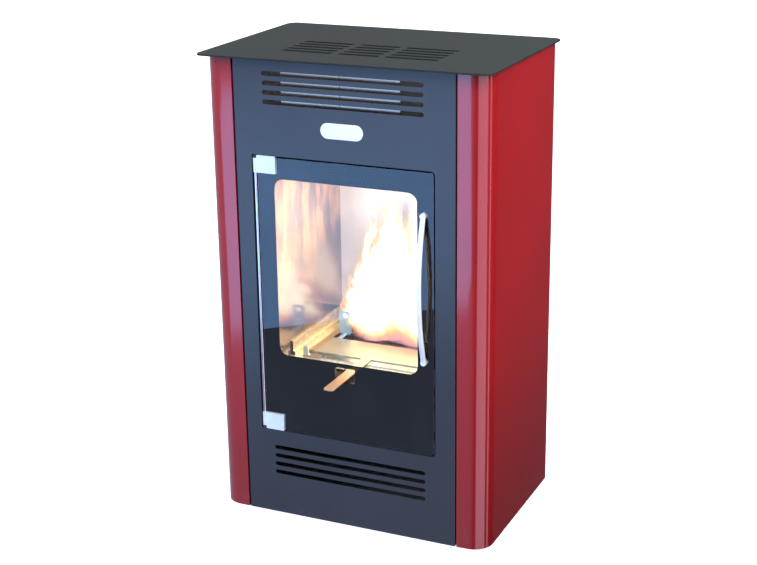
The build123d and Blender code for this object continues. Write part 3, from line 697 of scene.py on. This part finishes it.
class STOVE_OT_firebox(bpy.types.Operator):
    """Dress the firebox liner and the polished sheets behind the upper louvre"""
    bl_idname = "stove.firebox"
    bl_label = "Firebox"

    def execute(self, context):
        tones = context.scene.stove_colours
        # The side liners carry painted reflections of the flames as orange streaks.
        dress(("firebox_wall_right", "firebox_wall_left"),
              fired_liner("polished_liner", tones.liner, sheen=0.8, painted_flame_reflections=0.7))
        dress(("firebox_wall_back",), fired_liner("polished_back", tones.liner_back, sheen=0.5))
        dress(("firebox_roof",), fired_liner("sooted_roof", tinted(tones.steel, 0.7), sheen=0.8))
        # The firebox floor is made black so that it reads dark through the lever's slot: painted shade.
        dress(("firebox_floor",), heatproof_black("floor_painted_shade"))
        dress(("hood_front_left", "hood_front_right"),
              sheet_steel("hood_polished", tones.hood, BRUSHED_Z, rough=0.22, scuffs=0.05))
        return {"FINISHED"}


class STOVE_OT_burner(bpy.types.Operator):
    """Dress the burner, its surround, guides, latches and regulator"""
    bl_idname = "stove.burner"
    bl_label = "Burner and regulator"

    def execute(self, context):
        tones = context.scene.stove_colours
        # The surround's golden tone is painted warm light from the flame, and its shade setting paints shadow on
        # its risers.
        dress(("burner_surround",), sheet_steel("surround_stainless", tones.surround, BRUSHED_Y, rough=0.2,
                                                scuffs=0.03, sheen=0.7, shade=0.9))
        dress(("burner_tank",), sheet_steel("tank_stainless", tones.steel, COARSE_Z, rough=0.24))
        dress(("burner_lid",), sheet_steel("lid_heat_tinted", tones.steel, BRUSHED_X, rough=0.16, tint=0.85))
        # Latches and tab: low sheen and a pale colour, painted reflections of the bright room.
        dress(("burner_latches",), sheet_steel("latch_stainless", tones.latch, COARSE_Y, rough=0.3, sheen=0.2))
        dress(("slide_guide_right", "slide_guide_left"),
              sheet_steel("guide_stainless", tones.guide, COARSE_Y, rough=0.3, sheen=0.8))
        dress(("regulator_slide",), sheet_steel("slide_stainless", tones.slide, BRUSHED_Y, rough=0.32,
                                                tint=0.2, scuffs=0.03, sheen=0.75, straw=0.8))
        # The tab's blue base colour is a painted reflection of the sky.
        dress(("regulator_tab",), sheet_steel("tab_stainless", tones.tab, COARSE_Z, rough=0.3, sheen=0.1))
        dress(("burner_fibre",), fibre_wool("ceramic_fibre", tones.fibre))
        return {"FINISHED"}


class STOVE_OT_door(bpy.types.Operator):
    """Dress the glass door with its border, clips, rod, handle, washers and catch plate"""
    bl_idname = "stove.door"
    bl_label = "Glass door"

    def execute(self, context):
        tones = context.scene.stove_colours
        dress(("door_glass",), clear_pane("clear_heatproof_glass"))
        dress(("glass_border",), fired_enamel("fired_black_enamel", tones.enamel))
        # The clips and, below, the handle have a low sheen and a pale colour: painted reflections of the bright
        # room.
        dress(("hinge_clip_upper", "hinge_clip_lower"),
              bright_metal("clip_bright", tinted(tones.bright, 0.84), rough=0.4, sheen=0.3))
        dress(("hinge_rod",), bright_metal("rod_polished", tinted(tones.bright, 0.7), rough=0.1))
        dress(("door_handle",), bright_metal("handle_polished", tones.bright, rough=0.3, sheen=0.25))
        dress(("handle_washers", "handle_screws"), bright_metal("fitting_bright", tones.bright, rough=0.18))
        dress(("catch_plate",), heatproof_black("catch_black_paint"))
        return {"FINISHED"}


class STOVE_OT_back_screws(bpy.types.Operator):
    """Model the cross-recessed screws of the back panel"""
    bl_idname = "stove.back_screws"
    bl_label = "Back screws"

    def execute(self, context):
        tones = context.scene.stove_colours
        piece = screws_with_recess("back_screws", "back_screws_recessed", shank_radius=0.0016, head_depth=0.002,
                                   recess="cross", body="stove")
        piece.data.materials.append(bright_metal("back_screw_bright", tones.bright, rough=0.2))
        return {"FINISHED"}


class STOVE_OT_handle_screws(bpy.types.Operator):
    """Model the socket screws that hold the handle from inside the door"""
    bl_idname = "stove.handle_screws"
    bl_label = "Handle screws"

    def execute(self, context):
        tones = context.scene.stove_colours
        piece = screws_with_recess("handle_screws", "handle_screws_socket", shank_radius=0.0019, head_depth=0.0022,
                                   recess="hexagon", body="door")
        piece.data.materials.append(bright_metal("handle_screw_bright", tones.bright, rough=0.16))
        return {"FINISHED"}


class STOVE_OT_flame(bpy.types.Operator):
    """Model the flame that stands on the fire slot, as curved tongues"""
    bl_idname = "stove.flame"
    bl_label = "Flame"

    def execute(self, context):
        sizes = context.scene.stove_flame
        above_slide, below_roof, end_margin = 0.0005, 0.02, 0.022
        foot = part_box("regulator_slide")[1].z + above_slide
        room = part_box("firebox_roof")[0].z - foot - below_roof
        run = slot_right - slot_left - 2 * end_margin
        tongues = []
        for index in range(sizes.tongues):
            share = index / (sizes.tongues - 1)
            wave = sin(index * 2.4)
            sweep = cos(index * 1.7)
            x = slot_left + end_margin + share * run + 0.008 * wave
            y = slot_y + 0.012 * sweep
            tall = sizes.height * (0.34 + 0.5 * sin(pi * (0.1 + 0.62 * share)) + 0.15 * wave)
            wide = sizes.width * (0.62 + 0.2 * sweep)
            turn = -0.5 + 1.3 * ((index * 0.618) % 1.0)
            tongues.append(self.tongue(x, y, foot, turn, wide, min(tall, room), 0.7 * wave))
        flame = join(tongues, "flame")
        flame.data.materials.append(burning_vapour("burning_vapour", sizes))
        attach(flame, "stove")
        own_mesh(flame)
        return {"FINISHED"}

    def tongue(self, x, y, foot, turn, wide, tall, twist):
        """One upright sheet, narrower towards its tip and curled about its own height."""
        deselect()
        bpy.ops.mesh.primitive_grid_add(x_subdivisions=10, y_subdivisions=20, size=1, calc_uvs=True,
                                        rotation=(pi / 2, 0, turn))
        sheet = bpy.context.active_object
        sheet.scale = (wide, tall, 1)
        bpy.ops.object.transform_apply(location=False, rotation=True, scale=True)
        apply_modifier(sheet, "SIMPLE_DEFORM", deform_method="TAPER", deform_axis="Z", factor=-0.9)
        apply_modifier(sheet, "SIMPLE_DEFORM", deform_method="TWIST", deform_axis="Z", angle=twist)
        bpy.ops.object.mode_set(mode="EDIT")
        bpy.ops.mesh.select_all(action="SELECT")
        bpy.ops.transform.translate(value=(x, y, foot + tall / 2))
        bpy.ops.object.mode_set(mode="OBJECT")
        return sheet


class STOVE_OT_studio(bpy.types.Operator):
    """Lay the pale floor and its backdrop, and set the room and the soft lights"""
    bl_idname = "stove.studio"
    bl_label = "Studio"

    def execute(self, context):
        settings = context.scene.stove_studio
        context.scene.view_settings.view_transform = "Standard"
        self.floor(settings)
        self.world(context.scene)
        self.light("key", place=(1.9, -1.6, 2.9), target=(0.1, 0.0, 0.45), size=(1.8, 1.8), power=75.0,
                   tone=(1.0, 0.97, 0.93))
        self.light("sky", place=(-1.6, -2.2, 2.3), target=(0.0, -0.1, 0.45), size=(1.6, 1.6), power=34.0,
                   tone=(0.8, 0.9, 1.0))
        self.light("rear", place=(1.9, 1.5, 2.3), target=(0.25, 0.1, 0.6), size=(1.2, 1.2), power=26.0,
                   tone=(1.0, 0.95, 0.92))
        card = self.light("blue_card", place=(-0.64, -1.3, 0.265), target=(-0.64, -0.2, 0.265),
                          size=(1.5, 0.656), power=11.5, tone=(0.25, 0.51, 1.0))
        card.rotation_euler.rotate_axis("Z", radians(14.0))
        side = self.light("side", place=(1.7, 0.35, 1.5), target=(0.27, 0.02, 0.72), size=(0.8, 0.8), power=3.2,
                          tone=(1.0, 0.94, 0.86))
        side.data.spread = radians(60)
        side.visible_glossy = False
        corner = (0.24, -0.12, 0.1)
        for name, place, wide, power in (("strip_corner", (0.72, -0.48, 0.1), 0.60, 7.3),
                                         ("strip_side", (0.93, -0.02, 0.1), 0.10, 1.2)):
            strip = self.light(name, place, corner, size=(wide, 1.7), power=power, tone=(0.92, 0.78, 1.0))
            strip.visible_diffuse = False
        self.glow("fire_glow", x=0.01, behind=0.0, above=0.24, power=5.5, tone=(1.0, 0.84, 0.74))
        self.glow("hood_glow", x=0.0, behind=0.12, above=0.475, power=0.4, tone=(1.0, 0.9, 0.82))
        return {"FINISHED"}

    def floor(self, settings):
        """A white floor, with a round backdrop that stands just inside its edge."""
        deselect()
        bpy.ops.mesh.primitive_plane_add(size=settings.floor_size)
        floor = named("studio_floor")
        reach = settings.floor_size * 0.49
        deselect()
        bpy.ops.mesh.primitive_cylinder_add(vertices=96, radius=reach, depth=settings.floor_size,
                                            end_fill_type="NOTHING", location=(0, 0, reach))
        wall = named("studio_wall")
        white = pale_floor("pale_floor", settings.floor_tone)
        for sheet in (floor, wall):
            sheet.data.materials.append(white)
            sheet.visible_glossy = False
            sheet.visible_diffuse = False
        wall.visible_shadow = False

    def world(self, scene):
        """A soft room, cool on the left, dim low on the right, and pale overhead."""
        world = bpy.data.worlds.new("soft_room")
        scene.world = world
        world.use_nodes = True
        room = Nodes(world.node_tree)
        way = room.coordinate("Generated")
        rise = room.part_of(way, "Z") * 0.5 + 0.5
        rightward = room.part_of(way, "X").between(-0.1, 0.35)
        tone = room.blend(room.ramp(rise, COOL_ROOM), room.ramp(rise, DIM_ROOM), rightward)
        sky = room.node("ShaderNodeBackground", None, {"Color": tone, "Strength": 0.9})
        room.add("ShaderNodeOutputWorld", None, {"Surface": sky})

    def light(self, name, place, target, size, power, tone):
        """A rectangular soft light that faces its target and stays out of the picture itself."""
        deselect()
        bpy.ops.object.light_add(type="AREA", location=place)
        lamp = named(name)
        lamp.data.shape = "RECTANGLE"
        lamp.data.size, lamp.data.size_y = size
        lamp.data.energy = power
        lamp.data.color = tone
        away = Vector(place) - Vector(target)
        lamp.rotation_euler = away.to_track_quat("Z", "Y").to_euler()
        lamp.visible_camera = False
        return lamp

    def glow(self, name, x, behind, above, power, tone):
        """A small soft light in the casing, behind the front edge of the burner's lid and above its top."""
        deselect()
        bpy.ops.object.light_add(type="POINT", location=(x, lid_low.y + behind, lid_high.z + above))
        lamp = named(name)
        lamp.data.energy = power
        lamp.data.shadow_soft_size = 0.05
        lamp.data.color = tone
        lamp.visible_camera = False
        lamp.visible_glossy = False


class STOVE_OT_camera(bpy.types.Operator):
    """Stand the camera right of the door and above it, looking down"""
    bl_idname = "stove.camera"
    bl_label = "Camera"

    def execute(self, context):
        settings = context.scene.stove_studio
        azimuth, elevation, roll = settings.azimuth, settings.elevation, settings.roll
        ahead = Vector((-sin(azimuth) * cos(elevation), cos(azimuth) * cos(elevation), -sin(elevation)))
        right = ahead.cross(Vector((0, 0, 1))).normalized()
        up = right.cross(ahead)
        lean_right = right * cos(roll) + up * sin(roll)
        lean_up = up * cos(roll) - right * sin(roll)
        deselect()
        bpy.ops.object.camera_add(location=settings.place)
        camera = named("photo_camera")
        turn = Matrix((lean_right, lean_up, -ahead)).transposed()
        camera.matrix_world = Matrix.Translation(Vector(settings.place)) @ turn.to_4x4()
        camera.data.sensor_width = 36.0
        camera.data.lens = settings.lens
        context.scene.camera = camera
        return {"FINISHED"}


class STOVE_PT_sidebar(bpy.types.Panel):
    """Settings and steps of the stove's looks"""
    bl_idname = "STOVE_PT_sidebar"
    bl_label = "Stove"
    bl_space_type = "VIEW_3D"
    bl_region_type = "UI"
    bl_category = "Stove"

    def draw(self, context):
        layout = self.layout
        for group in groups:
            settings = getattr(context.scene, group)
            column = layout.column()
            for name in settings.__annotations__:
                column.prop(settings, name)
        for operator in operators:
            layout.operator(operator.bl_idname)


operators = (STOVE_OT_camera, STOVE_OT_casing, STOVE_OT_frame, STOVE_OT_firebox, STOVE_OT_burner, STOVE_OT_door,
             STOVE_OT_back_screws, STOVE_OT_handle_screws, STOVE_OT_flame, STOVE_OT_studio)
groups = {"stove_colours": StoveColours, "stove_flame": FlameSizes, "stove_studio": StudioSettings}


def register():
    for kind in (*groups.values(), *operators, STOVE_PT_sidebar):
        bpy.utils.register_class(kind)
    for name, kind in groups.items():
        setattr(bpy.types.Scene, name, PointerProperty(type=kind))


def unregister():
    for name in groups:
        delattr(bpy.types.Scene, name)
    for kind in (STOVE_PT_sidebar, *reversed(operators), *reversed(groups.values())):
        bpy.utils.unregister_class(kind)


def main():
    register()
    for operator in operators:
        family, step = operator.bl_idname.split(".")
        getattr(getattr(bpy.ops, family), step)()
    bpy.context.view_layer.update()


if __name__ == "__main__":
    main()
